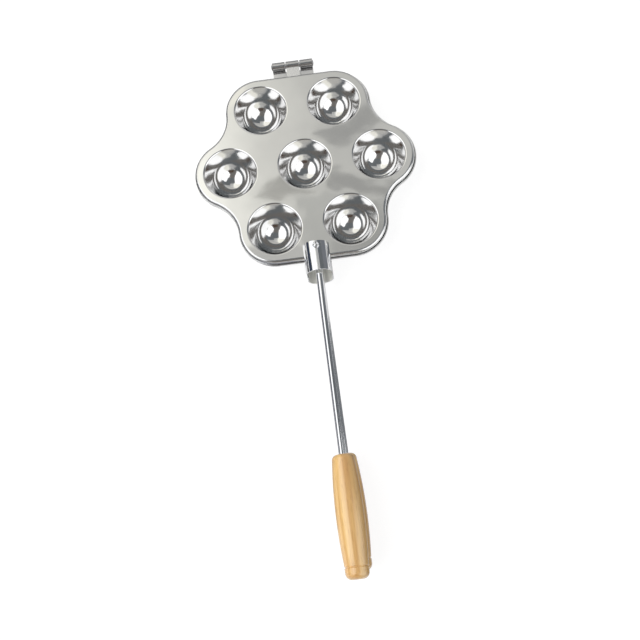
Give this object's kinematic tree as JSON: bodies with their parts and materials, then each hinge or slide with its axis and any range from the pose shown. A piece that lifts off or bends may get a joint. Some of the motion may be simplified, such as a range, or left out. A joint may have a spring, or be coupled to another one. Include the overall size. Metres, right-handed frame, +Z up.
{
  "type": "egg waffle pan",
  "caption": "Hinged waffle pan of two lobed pressed plates with round-bottomed cups, each half with a riveted half-round socket, a steel rod and a turned wooden grip.",
  "frame": {"origin": "the foot of the middle lower cup, on the surface that the pan stands on", "axes": "+Z up, +Y to the hinge, -Y along the handles, X across the pan"},
  "size_m": [0.1862, 0.4363, 0.0464],
  "materials": {
    "plate_steel": "satin flats and rims, mirror-bright cups",
    "bright_steel": "polished",
    "hinge_steel": "dull rolled strip",
    "grip_wood": "light hardwood, clear varnish"
  },
  "bodies": {
    "lower_half": {"lower_plate": "plate_steel", "lower_hinge_leaf": "hinge_steel", "lower_socket": "bright_steel", "lower_socket_rivet": "bright_steel", "lower_rod": "bright_steel", "lower_grip": "grip_wood", "hinge_pin": "hinge_steel"},
    "upper_half": {"upper_plate": "plate_steel", "upper_hinge_leaf": "hinge_steel", "upper_socket": "bright_steel", "upper_socket_rivet": "bright_steel", "upper_rod": "bright_steel", "upper_grip": "grip_wood"}
  },
  "joints": [
    {"name": "pan_hinge", "type": "hinge", "parent": "lower_half", "child": "upper_half", "pos_m": [0, 0.09553, 0.02485], "axis": [-1, 0, 0], "range_deg": [0, 180]}
  ]
}
